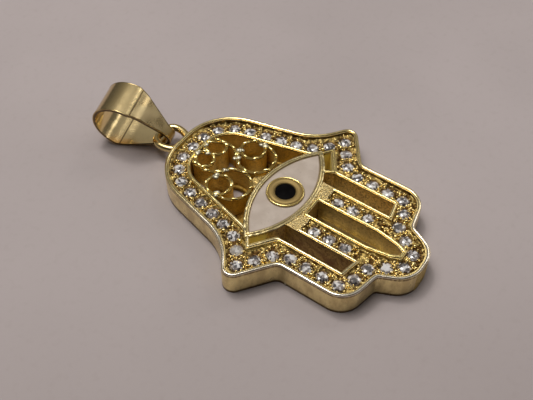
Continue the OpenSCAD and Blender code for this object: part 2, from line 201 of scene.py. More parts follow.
def outline(d):
    """The hand's outline moved in by d, with every corner rounded as on the solid."""
    points = []
    for i in range(2 * SIDE):
        c = inset_corner(i, d)
        u, v = heading(i - 1), heading(i)
        turn = math.atan2(cross2(u, v), float(u @ v))
        near = min(norm(inset_corner(i + k, d) - c) for k in (-1, 1))
        r = corner(i)[1] - sharpening(i, d) + (-d if turn < 0 else d)
        r = min(r, near * FILLET_SHARE / math.tan(abs(turn) / 2))
        if r < LEAST_FILLET:
            points.append(c)
            continue
        side = np.array([u[1], -u[0]]) if turn < 0 else np.array([-u[1], u[0]])
        start = c - u * r * math.tan(abs(turn) / 2)
        steps = math.ceil(abs(math.degrees(turn)) / FILLET_STEP)
        for k in range(steps + 1):
            a = turn * k / steps
            ca, sa = math.cos(a), math.sin(a)
            spoke = np.array([-side[0] * ca + side[1] * sa, -side[0] * sa - side[1] * ca])
            points.append(start + side * r + r * spoke)
    return np.array(points)


STEP = 0.09


def distances(line):
    """How far each point of a line lies along it."""
    return np.r_[0, np.cumsum(norm(np.diff(line, axis=0), axis=1))]


def resample(points, closed=True, step=STEP):
    """Points at even steps along a line."""
    p = np.asarray(points, float)
    if closed:
        p = np.vstack([p, p[:1]])
    p = p[np.r_[True, np.diff(distances(p)) > 1e-6]]
    run = distances(p)
    s = np.linspace(0, run[-1], max(2, int(round(run[-1] / step))) + 1)
    if closed:
        s = s[:-1]
    return np.stack([np.interp(s, run, p[:, k]) for k in range(p.shape[1])], axis=1)


def tangents(path, closed):
    """The direction of a line at each of its points."""
    t = np.roll(path, -1, 0) - np.roll(path, 1, 0) if closed else np.gradient(path, axis=0)
    return t / norm(t, axis=1)[:, None]


def smooth(share):
    """A share from 0 to 1, eased at both ends."""
    return share * share * (3 - 2 * share)


def wander(n, step, seed, closed):
    """Smooth noise along n points, from about -1 to 1, with a bend every step points."""
    rng = RandomState(seed)
    m = max(4, int(n / step))
    knots = rng.uniform(-1, 1, m)
    if closed:
        t = np.arange(n) * m / n
    else:
        t = np.linspace(0, m - 1.001, n)
    i = np.floor(t).astype(int)
    f = smooth(t - i)
    return knots[i % m] * (1 - f) + knots[(i + 1) % m] * f


# Mesh building.


class Builder:
    """Collects parts of one mesh, in millimetres."""

    def __init__(self):
        self.verts, self.faces, self.count = [], [], 0

    def add(self, verts, faces):
        self.verts.append(np.asarray(verts, float))
        self.faces += [tuple(int(i) + self.count for i in f) for f in faces]
        self.count += len(verts)

    def make(self, name, material, body="hand", slot="gold"):
        mesh = bpy.data.meshes.new(name)
        mesh.from_pydata((np.vstack(self.verts) * MM).tolist(), [], self.faces)
        mesh.validate()
        mesh.polygons.foreach_set("use_smooth", [True] * len(mesh.polygons))
        obj = bpy.data.objects.new(name, mesh)
        scene.collection.objects.link(obj)
        obj.data.materials.append(material)
        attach(obj, body)


def rod_faces(n, sides, closed):
    """The faces of a rod of n rings, with flat ends unless it is closed."""
    faces = []
    for i in range(n if closed else n - 1):
        j = (i + 1) % n
        for k in range(sides):
            m = (k + 1) % sides
            faces.append((i * sides + k, j * sides + k, j * sides + m, i * sides + m))
    if not closed:
        faces.append(tuple(range(sides)))
        faces.append(tuple((n - 1) * sides + k for k in reversed(range(sides))))
    return faces


# The height of a crest's middle, its half width and half height, how uneven it is, the points
# from one bend to the next, and the sides of its section.
Crest = namedtuple("Crest", "z half_w half_h uneven bend sides")
# How much more uneven a crest's height is than its width.
RISE_UNEVEN = 1.6


def bead_line(build, path, crest, seed, closed=True):
    """A rounded crest along a line in plan: an oval rod half sunk in the metal below it."""
    n, sides = len(path), crest.sides
    t = tangents(path, closed)
    side = np.stack([t[:, 1], -t[:, 0]], axis=1)[:, None]
    swell = 1 + crest.uneven * wander(n, crest.bend, seed, closed)
    rise = 1 + RISE_UNEVEN * crest.uneven * wander(n, crest.bend, seed + 50, closed)
    a = np.arange(sides) * 2 * math.pi / sides
    u, v = np.cos(a), np.sin(a)
    ring = np.zeros((n, sides, 3))
    ring[:, :, :2] = path[:, None] + side * u[:, None] * crest.half_w * swell[:, None, None]
    ring[:, :, 2] = crest.z + v * crest.half_h * rise[:, None]
    build.add(ring.reshape(-1, 3), rod_faces(n, sides, closed))


def ball(level):
    """A unit icosphere's points and faces."""
    g = (1 + 5 ** 0.5) / 2
    v = [(-1, g, 0), (1, g, 0), (-1, -g, 0), (1, -g, 0), (0, -1, g), (0, 1, g),
         (0, -1, -g), (0, 1, -g), (g, 0, -1), (g, 0, 1), (-g, 0, -1), (-g, 0, 1)]
    v = [np.array(p) / norm(p) for p in v]
    f = [(0, 11, 5), (0, 5, 1), (0, 1, 7), (0, 7, 10), (0, 10, 11), (1, 5, 9), (5, 11, 4),
         (11, 10, 2), (10, 7, 6), (7, 1, 8), (3, 9, 4), (3, 4, 2), (3, 2, 6), (3, 6, 8),
         (3, 8, 9), (4, 9, 5), (2, 4, 11), (6, 2, 10), (8, 6, 7), (9, 8, 1)]
    for _ in range(level):
        middle, new = {}, []

        def half(a, b):
            key = (min(a, b), max(a, b))
            if key not in middle:
                m = v[a] + v[b]
                v.append(m / norm(m))
                middle[key] = len(v) - 1
            return middle[key]
        for a, b, c in f:
            ab, bc, ca = half(a, b), half(b, c), half(c, a)
            new += [(a, ab, ca), (b, bc, ab), (c, ca, bc), (ab, bc, ca)]
        f = new
    return np.array(v), f


BALL_1 = ball(1)
BALL_2 = ball(2)
LUMP_WAVES = 2.6
LUMP_STRETCH = 0.85, 1.2


def lump(build, rng, x, y, z, r, height, rough, fine=False):
    """An irregular bead of metal, squashed or drawn up by height."""
    verts, faces = BALL_2 if fine else BALL_1
    dents = rng.uniform(-1, 1, (3, 3))
    shape = 1 + rough * np.sin(verts @ dents.T * LUMP_WAVES + rng.uniform(0, 6, 3)).mean(1)
    turn = rng.uniform(0, 2 * math.pi)
    stretch = rng.uniform(*LUMP_STRETCH)
    p = verts * shape[:, None] * r
    p[:, 0] *= stretch
    p[:, 1] /= stretch
    p[:, 2] *= height
    ca, sa = math.cos(turn), math.sin(turn)
    p = np.stack([p[:, 0] * ca - p[:, 1] * sa, p[:, 0] * sa + p[:, 1] * ca, p[:, 2]], axis=1)
    build.add(p + (x, y, z), faces)


# Materials. Colours are linear, and masks and shares run from 0 to 1.

# The way over the floor, away from the camera.
AWAY = (0.82, 0.57)


class Nodes:
    """A node tree in short calls that take numbers and colours as well as sockets."""

    def __init__(self, tree):
        self.tree = tree

    def feed(self, value, into):
        if isinstance(value, bpy.types.NodeSocket):
            self.tree.links.new(value, into)
        else:
            into.default_value = (*value, 1) if isinstance(value, tuple) else value

    def node(self, kind, inputs=(), **settings):
        n = self.tree.nodes.new("ShaderNode" + kind)
        for key, value in settings.items():
            setattr(n, key, value)
        for key, value in dict(inputs).items():
            self.feed(value, n.inputs[key])
        return n

    def split(self, vector):
        return self.node("SeparateXYZ", {"Vector": vector}).outputs

    def math(self, operation, a, b=0, clamp=False):
        return self.node("Math", {0: a, 1: b}, operation=operation, use_clamp=clamp).outputs[0]

    def product(self, result, *factors):
        for factor in factors:
            result = self.math("MULTIPLY", result, factor)
        return result

    def rest(self, share):
        return self.math("SUBTRACT", 1.0, share)

    def reach(self, x, y):
        """The distance from the z axis."""
        return self.math("SQRT", self.math("ADD", self.product(x, x), self.product(y, y)))

    def dot(self, a, b):
        return self.node("VectorMath", {0: a, 1: b}, operation="DOT_PRODUCT").outputs["Value"]

    def range(self, value, a, b, c=0.0, d=1.0):
        """value from a..b turned into c..d, smoothly, and held at the ends."""
        limits = {"From Min": a, "From Max": b, "To Min": c, "To Max": d}
        n = self.node("MapRange", {"Value": value, **limits}, interpolation_type="SMOOTHSTEP")
        return n.outputs["Result"]

    def ramp(self, value, stops):
        """value turned into a colour by stops, each a position and a colour."""
        n = self.node("ValToRGB", {"Fac": value})
        elements = n.color_ramp.elements
        while len(elements) < len(stops):
            elements.new(0.5)
        for k, (position, color) in enumerate(stops):
            elements[k].position = position
            elements[k].color = (*color, 1)
        return n.outputs["Color"]

    def mix(self, share, a, b, kind="RGBA"):
        """The colour a turned towards the colour b."""
        n = self.node("Mix", {"Factor": share}, data_type="RGBA" if kind == "RGBA" else "FLOAT")
        first, second = [s for s in n.inputs if s.type == kind][-2:]
        self.feed(a, first)
        self.feed(b, second)
        return next(s for s in n.outputs if s.type == kind)

    def blend(self, share, a, b):
        """The number a turned towards the number b."""
        return self.mix(share, a, b, "VALUE")

    def layer(self, base, *layers, kind="RGBA"):
        """The colour or number base under layers, each a mask and what it turns base towards."""
        for mask, value in layers:
            base = self.mix(mask, base, value, kind)
        return base


class Look(Nodes):
    """A material with one shader, whose values are given by name."""

    def __init__(self, name, **values):
        self.material = bpy.data.materials.new(name)
        self.material.use_nodes = True
        super().__init__(self.material.node_tree)
        self.bsdf = self.tree.nodes["Principled BSDF"]
        for key, value in values.items():
            self.to(key.replace("_", " "), value)

    def to(self, name, value):
        self.feed(value, self.bsdf.inputs[name])

    def normal(self):
        return self.node("TexCoord").outputs["Normal"]

    def place(self, scale=(1000, 1000, 1000)):
        """Object coordinates in millimetres, stretched by scale."""
        where = self.node("TexCoord").outputs["Object"]
        return self.node("Mapping", {"Vector": where, "Scale": Vector(scale)}).outputs["Vector"]

    def depth(self, where):
        """How far a place lies from the camera, measured over the floor."""
        x, y, _ = self.split(where)
        return self.math("ADD", self.product(x, AWAY[0]), self.product(y, AWAY[1]))

    def noise(self, where, scale, detail, rough):
        inputs = {"Vector": where, "Scale": scale, "Detail": detail, "Roughness": rough}
        return self.node("TexNoise", inputs).outputs["Fac"]

    def bump(self, height, strength, distance):
        inputs = {"Height": height, "Strength": strength, "Distance": distance * MM}
        self.to("Normal", self.node("Bump", inputs).outputs["Normal"])


FACE_GOLD = (0.80, 0.62, 0.27)
WALL_TONES = (0.70, 0.55, 0.26), (0.97, 0.80, 0.39)
# Painted shade: a dark line at the walls' foot, where they stand on the floor.
WALL_FOOT_SHADE = (0.10, 0.055, 0.02)
# Painted shade on the walls that face into the stone channel.
CHANNEL_WALL_SHADE = (0.34, 0.22, 0.07)
# Painted shade: a dark line on the walls just under the rim's crest.
UNDER_RIM_SHADE = (0.15, 0.09, 0.04)
DEEP_TONES = (0.56, 0.37, 0.09), (1.0, 0.75, 0.22)
DEEP_SPECK = (0.22, 0.13, 0.03)
# Painted shade in the windows: darker towards their bottom, in blotches, and over the whole left
# window.
DEEP_PAINTED_SHADE = (0.20, 0.075, 0.02)
# Painted shade: a darker, greyer gold on the deep middle slot's walls.
SLOT_SHADE = (0.42, 0.32, 0.11)
# Painted light: a lighter, warmer gold on the palm windows' walls.
PALM_LIGHT = (1.0, 0.74, 0.20)
# Painted light: a light gold on the window walls beside the eye's tips.
TIP_LIGHT = (1.0, 0.86, 0.32)
CHANNEL_TONES = (0.34, 0.20, 0.05), (0.84, 0.60, 0.20)
# Painted shade: dark brown on the filigree's tops round and between the dashes.
WEB_SHADE = (0.42, 0.27, 0.07)
SAND_TONES = (0.45, 0.32, 0.13), (0.62, 0.48, 0.23)
IRIS_GOLD = (0.35, 0.25, 0.10)
BLOTCH_GOLD = (0.46, 0.35, 0.16)
# The half width ramp: its stops, how near a point counts for one, and the width of white.
RAMP_STOPS = 24
RAMP_NEAR = 0.35
RAMP_WHITE = 10.0


def half_width_ramp(look, y):
    """The half width, at y, of the line midway between outer wall and windows."""
    middle = BORDER_W / 2
    line = resample(outline(middle), step=0.1)
    line = line[line[:, 0] >= 0]
    low, high = -FINGER_LEN + middle, PALM_LEN - middle
    stops = []
    for k, at in enumerate(np.linspace(low, high, RAMP_STOPS)):
        near = line[np.abs(line[:, 1] - at) < RAMP_NEAR]
        w = near[:, 0].max() / RAMP_WHITE if len(near) else 0
        stops.append((k / (RAMP_STOPS - 1), (w, w, w)))
    share = look.math("DIVIDE", look.math("SUBTRACT", y, low), high - low)
    return look.product(look.ramp(share, stops), RAMP_WHITE)


def gold_regions(look, where):
    """The masks of the cast gold's regions, by place and by the way the surface faces."""
    x, y, z = look.split(where)
    ax = look.math("ABSOLUTE", x)
    up = look.range(look.math("ABSOLUTE", look.split(look.normal())[2]), 0.35, 0.6)
    wall = look.rest(up)
    loop = look.range(y, PALM_LEN + 0.02, PALM_LEN + 0.08)
    within = look.math("LESS_THAN", ax, half_width_ramp(look, y))
    inside = look.product(within, look.rest(loop))
    inside_up = look.product(inside, up)
    inward = look.math("LESS_THAN", look.dot(where, look.normal()), 0.0)
    from_rim_foot = look.math("ABSOLUTE", look.math("SUBTRACT", z, BODY_H - 0.14))
    patch_x = look.math("LESS_THAN", ax, 2.9)
    patch_y = look.product(look.range(y, -3.35, -3.1), look.range(y, -1.2, -1.6))
    beside_tip = look.product(look.range(y, 0.4, 0.0), look.range(y, -3.3, -2.7))
    return SimpleNamespace(
        up=up, wall=wall, loop=loop,
        deep=look.product(inside, wall, look.range(z, 2.24, 2.1)),
        floor=look.product(look.range(z, 2.02, 1.96), look.range(z, 0.5, 0.6), inside_up),
        # The filigree's tops, where painted shade lies round the dashes.
        web=look.product(look.range(z, 2.285, 2.275), inside_up, look.range(z, 2.2, 2.22)),
        patch=look.product(patch_x, patch_y, up, look.range(z, 2.0, 2.2)),
        iris=look.product(look.range(look.reach(x, y), 1.68, 1.6), look.range(z, 2.28, 2.31)),
        # Where the painted shade at the walls' foot lies.
        foot=look.range(z, 0.36, 0.16, 0.0, 0.96),
        # Where the painted shade on the stone channel's walls lies.
        channel_wall_shade=look.product(inward, look.range(z, CHANNEL_Z - 0.05, CHANNEL_Z)),
        # Where the painted shade under the rim's crest lies.
        under_rim_shade=look.range(from_rim_foot, 0.15, 0.07),
        # Where the windows' painted shade lies: low down, and in the left window.
        low=look.range(z, 1.9, 0.4),
        left_window_shade=look.product(look.range(x, -2.7, -2.9), look.range(y, -1.0, -3.0)),
        # Where the middle slot's painted shade lies.
        slot=look.product(look.range(ax, 1.7, 1.5), look.range(y, -1.5, -2.5)),
        # Where the palm windows' painted light lies.
        palm=look.product(look.range(y, 1.5, 2.2), look.range(ax, 7.2, 6.8)),
        # Beside the eye's tips, where light is painted and the metal is made less metallic.
        eye_tip=look.product(look.range(ax, 4.2, 4.6), beside_tip),
    )


def gold_color(look, region, noise):
    streaks = look.range(noise.streak, 0.3, 0.55, 0.3, 0.9)
    side = look.layer(
        look.mix(look.range(noise.bands, 0.36, 0.62), *WALL_TONES),
        # Painted shade at the walls' foot.
        (region.foot, WALL_FOOT_SHADE),
        # Painted shade on the stone channel's walls.
        (look.product(region.channel_wall_shade, 0.8), CHANNEL_WALL_SHADE),
        # Painted shade under the rim's crest, broken by streaks.
        (look.product(region.under_rim_shade, streaks), UNDER_RIM_SHADE),
    )
    # Painted shade in the windows, low down in blotches and over the left window.
    painted_shade = look.product(look.range(noise.blotch, 0.42, 0.66), region.low, 0.45)
    left = look.product(region.left_window_shade, 0.85)
    deep = look.layer(
        look.mix(look.range(noise.sandy, 0.36, 0.60), *DEEP_TONES),
        (look.range(noise.specks, 0.46, 0.36, 0.0, 0.75), DEEP_SPECK),
        (look.math("ADD", painted_shade, left, clamp=True), DEEP_PAINTED_SHADE),
        # Painted shade in the middle slot.
        (look.product(region.slot, 0.55), SLOT_SHADE),
        # Painted light on the palm windows' walls.
        (look.product(region.palm, 0.5), PALM_LIGHT),
        # Painted light beside the eye's tips.
        (region.eye_tip, TIP_LIGHT),
    )
    blotch = look.range(noise.blotch, 0.35, 0.7, 0.0, 0.16)
    return look.layer(
        look.mix(region.up, side, FACE_GOLD),
        (region.deep, deep),
        (region.floor, look.mix(look.range(noise.lumps, 0.38, 0.62), *CHANNEL_TONES)),
        # Painted shade on the filigree's tops.
        (region.web, WEB_SHADE),
        (region.patch, look.mix(look.range(noise.grain, 0.35, 0.65), *SAND_TONES)),
        (region.iris, IRIS_GOLD),
        (look.product(blotch, look.rest(region.iris)), BLOTCH_GOLD),
    )


def gold_body():
    """The cast gold, with a tone and grain in each region, and painted shade and light in some of
    them.
    """
    look = Look("gold_cast", Metallic=1.0)
    where = look.place()
    region = gold_regions(look, where)
    noise = SimpleNamespace(
        grain=look.noise(where, 9.0, 4.0, 0.65),
        blotch=look.noise(where, 1.3, 3.0, 0.5),
        streak=look.noise(look.place((7000, 7000, 350)), 1.0, 3.0, 0.6),
        lumps=look.noise(where, 3.6, 3.0, 0.6),
        sandy=look.noise(where, 6.5, 4.0, 0.7),
        bands=look.noise(look.place((900, 900, 450)), 1.0, 4.0, 0.65),
        specks=look.noise(where, 5.2, 2.0, 0.5),
    )
    look.to("Base Color", gold_color(look, region, noise))

    dull = look.product(region.deep, look.math("ADD", look.product(region.eye_tip, 0.5), 0.15))
    look.to("Metallic", look.blend(dull, 1.0, 0.0))

    rough = look.layer(
        look.blend(region.up, 0.30, 0.24), (region.deep, 0.52), (region.floor, 0.30),
        (region.patch, 0.30), (region.iris, 0.62), (region.loop, 0.24), kind="VALUE",
    )
    uneven = look.range(noise.blotch, 0.2, 0.8, -0.04, 0.05)
    look.to("Roughness", look.math("ADD", rough, uneven))

    window = look.math("ADD", look.product(noise.streak, 0.15), look.product(noise.sandy, 1.6))
    relief = look.layer(
        look.blend(region.wall, look.product(noise.grain, 0.25), look.product(noise.streak, 0.25)),
        (region.deep, window),
        (region.floor, look.product(noise.lumps, 3.4)),
        (region.patch, look.product(noise.grain, 2.2)),
        kind="VALUE",
    )
    look.bump(relief, 0.6, 0.035)
    return look.material


# The channel's tones: painted shade, near black, in its pits, and gold on its raised metal.
RELIEF_SHADE_TONES = (0.07, 0.035, 0.010), (0.46, 0.33, 0.11)


def channel_gold():
    """Bright on the raised metal of the stone channel, with painted shade, dark brown, in its pits
    and round the stones.
    """
    look = Look("gold_channel", Metallic=1.0)
    where = look.place()
    grain = look.noise(where, 8.0, 3.0, 0.6)
    height = look.math("ADD", look.split(where)[2], look.product(grain, 0.06))
    raised = look.range(height, CHANNEL_Z + 0.05, CHANNEL_Z + 0.20)
    # Painted shade in the pits, gold on the raised metal.
    look.to("Base Color", look.mix(raised, *RELIEF_SHADE_TONES))
    look.to("Roughness", look.range(grain, 0.3, 0.7, 0.28, 0.42))
    look.bump(grain, 0.9, 0.05)
    return look.material


# The share of its red, green and blue that a tarnished colour keeps.
TARNISHED = (0.62, 0.55, 0.42)


def polished(name, color, rough, scale, tarnish=0.36, dents=0.02, near_highlight=None):
    """Polished metal with soft dents and tarnish, turned towards a painted highlight colour on the
    side near the camera.
    """
    look = Look(name, Metallic=1.0)
    where = look.place()
    cloud = look.noise(where, scale, 1.0, 0.4)
    fine = look.noise(where, scale * 4, 2.0, 0.5)
    shade = tuple(c * k for c, k in zip(color, TARNISHED))
    if near_highlight:
        # Painted highlight: the colour turns paler on the side near the camera.
        color = look.mix(look.range(look.depth(where), 0.5, -4.0), color, near_highlight)
    look.to("Base Color", look.mix(look.range(cloud, 0.35, 0.75, 0.0, tarnish), color, shade))
    look.to("Roughness", look.range(fine, 0.3, 0.7, rough * 0.95, rough * 1.15))
    look.bump(cloud, 0.5, dents)
    return look.material


BAIL_TONES = (0.90, 0.70, 0.36), (0.72, 0.53, 0.25)
BAIL_SCUFFS = (0.74, 0.55, 0.27), (0.93, 0.74, 0.41)
# Painted shade over the bail's round end, beyond the crease.
BAIL_ROUND_SHADE = (0.56, 0.40, 0.17)
# Painted shade, darker towards the bail's small end where it wraps the ring.
BAIL_TIP_SHADE = (0.38, 0.26, 0.09)
# Painted shade along the crease where the round end starts.
CREASE_SHADE = (0.18, 0.11, 0.04)
# Painted dark reflection on the strip's cut sides.
CUT_SIDE_DARK_REFLECTION = (0.14, 0.09, 0.04)


def bail_look():
    """Polished strip with a scuffed flat, painted shade in the crease, over the round end and
    towards the tip, and a painted dark reflection on the cut edges.
    """
    look = Look("gold_bail", Metallic=1.0)
    where = look.place()
    lie = {"Location": Vector(BAIL_PLACE), "Rotation": BAIL_TURN.to_euler("XYZ")}
    own = look.node("Mapping", {"Vector": where, **lie}, vector_type="TEXTURE")
    _, along, over = look.split(own.outputs["Vector"])
    sideways = look.math("ABSOLUTE", look.dot(look.normal(), BAIL_TURN @ Vector((1, 0, 0))))
    cloud = look.noise(where, 0.9, 3.0, 0.5)
    scuff = look.noise(where, 0.75, 1.0, 0.4)
    fine = look.noise(where, 12.0, 2.0, 0.5)

    on_top = look.range(over, -0.2, 0.2)
    flat = look.product(look.range(along, BAIL_CREASE + 0.05, BAIL_CREASE - 0.15), on_top)
    turned = look.product(look.range(along, BAIL_CREASE + 0.8, BAIL_CREASE + 2.2), on_top)
    from_crease = look.math("ABSOLUTE", look.math("SUBTRACT", along, BAIL_CREASE))
    crease = look.range(from_crease, 0.10, 0.02)
    look.to("Base Color", look.layer(
        look.mix(look.range(cloud, 0.35, 0.7, 0.0, 0.3), *BAIL_TONES),
        (look.product(flat, 0.75), look.mix(look.range(scuff, 0.36, 0.66), *BAIL_SCUFFS)),
        # Painted shade over the round end.
        (look.product(turned, 0.6), BAIL_ROUND_SHADE),
        # Painted shade towards the small end.
        (look.range(along, 0.9, -0.7, 0.0, 0.75), BAIL_TIP_SHADE),
        # Painted shade in the crease.
        (look.product(crease, 0.85), CREASE_SHADE),
        # Painted dark reflection on the cut sides.
        (look.range(sideways, 0.7, 0.85), CUT_SIDE_DARK_REFLECTION),
    ))
    rough = look.blend(flat, 0.18, look.range(scuff, 0.3, 0.7, 0.24, 0.36))
    look.to("Roughness", look.math("ADD", rough, look.range(fine, 0.3, 0.7, -0.02, 0.03)))
    look.bump(look.math("ADD", cloud, look.product(scuff, flat, 0.5)), 0.4, 0.04)
    return look.material


ENAMEL_TONES = (0.49, 0.405, 0.335), (0.56, 0.47, 0.396)
ENAMEL_WISP = (0.74, 0.68, 0.60)
ENAMEL_SPECK = (0.20, 0.15, 0.12)
# Painted shade: brown along the enamel's edge at the bezel.
ENAMEL_EDGE_SHADE = (0.25, 0.17, 0.08)
# Painted shadow of the raised iris ring on the enamel round it.
ENAMEL_IRIS_SHADOW = (0.22, 0.14, 0.06)
PUPIL_TONES = (0.002, 0.002, 0.002), (0.006, 0.005, 0.005)


def enamel():
    """Off-white enamel with faint clouds and specks, and painted shade where it meets the bezel and
    round the iris ring.
    """
    look = Look("enamel_white", Coat_Weight=0.12, Coat_Roughness=0.15, IOR=1.5,
                Specular_IOR_Level=0.4)
    where = look.place()
    x, y, _ = look.split(where)
    cloud = look.noise(where, 0.8, 3.0, 0.5)
    wisp = look.noise(look.place((1200, 500, 1000)), 1.0, 4.0, 0.6)
    speck = look.noise(where, 7.0, 1.0, 0.4)
    from_arc = look.reach(x, look.math("ADD", look.math("ABSOLUTE", y), EYE_SINK))
    from_eye = look.reach(x, y)
    look.to("Base Color", look.layer(
        look.mix(look.range(cloud, 0.3, 0.7), *ENAMEL_TONES),
        (look.range(wisp, 0.58, 0.8, 0.0, 0.5), ENAMEL_WISP),
        (look.range(speck, 0.72, 0.78, 0.0, 0.7), ENAMEL_SPECK),
        # Painted shade at the bezel.
        (look.range(from_arc, EYE_ARC - 0.16, EYE_ARC - 0.03, 0.0, 0.85), ENAMEL_EDGE_SHADE),
        # Painted shadow round the iris ring.
        (look.range(from_eye, IRIS_R + 0.15, IRIS_R + 0.03, 0.0, 0.85), ENAMEL_IRIS_SHADOW),
    ))
    look.to("Roughness", look.range(cloud, 0.3, 0.7, 0.30, 0.42))
    look.bump(cloud, 0.25, 0.05)
    return look.material


def pupil():
    look = Look("enamel_black", Specular_IOR_Level=0.02)
    cloud = look.noise(look.place(), 3.0, 2.0, 0.5)
    look.to("Base Color", look.mix(cloud, *PUPIL_TONES))
    look.to("Roughness", look.range(cloud, 0.3, 0.7, 0.3, 0.45))
    return look.material


# Painted reflections: the stones' colour flashes dark, middling and bright in cells; the milky
# stone's tones also hold its own pale colour.
PAINTED_FLASH_CELLS = 4.5
CLEAR_PAINTED_FLASHES = (0.05, 0.035, 0.03), (0.36, 0.30, 0.27), (1.0, 0.97, 0.95)
MILKY_PAINTED_FLASHES = (0.50, 0.44, 0.38), (0.72, 0.66, 0.60), (0.92, 0.87, 0.80)


def stone_look(name, tones, clear, rough=0.0):
    """A cut stone whose colour is painted in cells dark, middling and bright, as reflections
    flashing in its facets.
    """
    look = Look(name, IOR=2.15, Roughness=rough, Transmission_Weight=clear,
                Coat_Weight=1.0, Coat_IOR=2.3, Coat_Roughness=0.02)
    dark, middle, bright = tones
    cells = look.node("TexVoronoi", {"Vector": look.place(), "Scale": PAINTED_FLASH_CELLS})
    painted_flash = look.split(cells.outputs["Color"])[0]
    # Painted reflections in the facets.
    color = look.mix(look.range(painted_flash, 0.38, 0.42), dark, middle)
    look.to("Base Color", look.mix(look.range(painted_flash, 0.66, 0.70), color, bright))
    return look.material


FLOOR_TONES = (0.439, 0.381, 0.374), (0.493, 0.428, 0.422)
# Painted shade: the floor darker towards the camera.
FLOOR_NEAR_SHADE = (0.374, 0.319, 0.310)
FLOOR_FLECK = (0.30, 0.24, 0.22)


def floor_look():
    look = Look("pale_floor", Roughness=0.6, Specular_IOR_Level=0.3)
    where = look.place()
    cloud = look.noise(where, 0.03, 4.0, 0.5)
    fine = look.noise(where, 1.4, 3.0, 0.5)
    look.to("Base Color", look.layer(
        look.mix(look.range(cloud, 0.3, 0.7), *FLOOR_TONES),
        # Painted shade towards the camera.
        (look.range(look.depth(where), 10, -26, 0.0, 0.7), FLOOR_NEAR_SHADE),
        (look.range(fine, 0.5, 0.8, 0.0, 0.12), FLOOR_FLECK),
    ))
    return look.material


# The CAD nodes' materials.

MILKY_STONE = "stone_30"


def dress(name, material):
    mesh = NODES[name].data
    mesh.materials.clear()
    mesh.materials.append(material)


crest_gold = polished("gold_crest", (0.97, 0.78, 0.32), 0.18, 1.6)
# The rims carry a painted highlight, paler on the side near the camera.
rim_gold = polished("gold_rim", (0.95, 0.77, 0.38), 0.17, 1.2, near_highlight=(0.95, 0.87, 0.72))
inner_gold = polished("gold_inner_rim", (0.97, 0.78, 0.34), 0.2, 1.6, dents=0.03,
                      near_highlight=(0.95, 0.80, 0.47))
bezel_gold = polished("gold_bezel", (0.80, 0.66, 0.35), 0.22, 2.5)
bead_gold = polished("gold_bead", (0.98, 0.76, 0.32), 0.18, 4.0, 0.45)
# Painted shade: a darker gold for the bail's polished corners.
edge_shade_gold = polished("gold_edge_shade", (0.66, 0.50, 0.24), 0.22, 1.2, 0.9)
# Painted shade: the dark gold of the ledge at the openings' foot.
draft_shade = polished("gold_draft_shade", (0.36, 0.23, 0.055), 0.5, 4.0, 0.9, 0.04)
solder = polished("gold_solder", (0.58, 0.54, 0.40), 0.40, 5.0)
clear_stone = stone_look("cut_stone", CLEAR_PAINTED_FLASHES, 0.15)
milky_stone = stone_look("milky_stone", MILKY_PAINTED_FLASHES, 0.3, 0.12)

dress("hand_body", gold_body())
dress("bail", bail_look())
dress("eye_enamel", enamel())
dress("eye_pupil", pupil())
for name in NODES:
    if name.startswith(("stone_", "bar_stones_")):
        dress(name, milky_stone if name == MILKY_STONE else clear_stone)

# Crests of rims and filigree.

OUTER_CREST = Crest(BODY_H - 0.02, 0.14, 0.12, 0.05, 20, 14)
INNER_CREST = Crest(BODY_H - 0.02, 0.11, 0.12, 0.05, 6, 12)
BAR_CREST = INNER_CREST._replace(uneven=0.06)
SLOT_CREST = INNER_CREST._replace(uneven=0.07)
BEZEL_INNER_CREST = Crest(BEZEL_Z - 0.03, 0.11, 0.09, 0.05, 12, 10)
BEZEL_OUTER_CREST = Crest(BEZEL_Z - 0.05, 0.12, 0.09, 0.16, 3, 10)
BAR_CREST_END = -3.1


def arc(angles):
    return np.stack([np.cos(angles), np.sin(angles)], axis=1)


def circle(n):
    return arc(np.linspace(0, 2 * math.pi, n, endpoint=False))


def ring_centre(g):
    return np.array([g[0] * WINDOW_W, BEZEL_OUT + g[1] * WINDOW_H]), g[2] * WINDOW_W


def ring_points(g, mirror=1):
    c, r = ring_centre(g)
    return (c + r * circle(180)) * (mirror, 1)


def outside(points, g, mirror=1):
    c, r = ring_centre(g)
    return np.hypot(points[:, 0] - mirror * c[0], points[:, 1] - c[1]) > r


def in_polygon(points, poly):
    x, y = points[:, 0], points[:, 1]
    inside = np.zeros(len(points), bool)
    for a, b in zip(poly, np.roll(poly, -1, 0)):
        cuts = (a[1] > y) != (b[1] > y)
        with np.errstate(divide="ignore", invalid="ignore"):
            at = (b[0] - a[0]) * (y - a[1]) / (b[1] - a[1]) + a[0]
        inside ^= cuts & (x < at)
    return inside


def in_almond(points, grow):
    return np.hypot(points[:, 0], np.abs(points[:, 1]) + EYE_SINK) < EYE_ARC + grow


def almond_line(grow, n=160):
    """The almond's outline grown by grow."""
    r = EYE_ARC + grow
    a = math.asin(math.sqrt(r * r - EYE_SINK * EYE_SINK) / r)
    t = np.linspace(-a, a, n)
    top = np.stack([r * np.sin(t), r * np.cos(t) - EYE_SINK], axis=1)
    return np.vstack([top, -top[1:-1]])


def slot_line(g):
    """The slot between the bars grown by g."""
    taper = SLOT_TIP + g - SLOT_TAPER
    right = [(BAR_IN + g, -SLOT_TOP + g)]
    right += [(BAR_IN * a + g, -SLOT_TAPER - taper * b) for a, b in SLOT_END]
    return np.array(right + [(-a, b) for a, b in reversed(right)])


def runs(points, keep):
    """The stretches of a closed line that are kept, each with whether it is still closed."""
    if keep.all():
        return [(points, True)]
    out = [[]]
    for i in np.roll(np.arange(len(points)), -int(np.argmax(~keep))):
        if keep[i]:
            out[-1].append(points[i])
        else:
            out.append([])
    return [(np.array(p), False) for p in out if len(p) > 3]


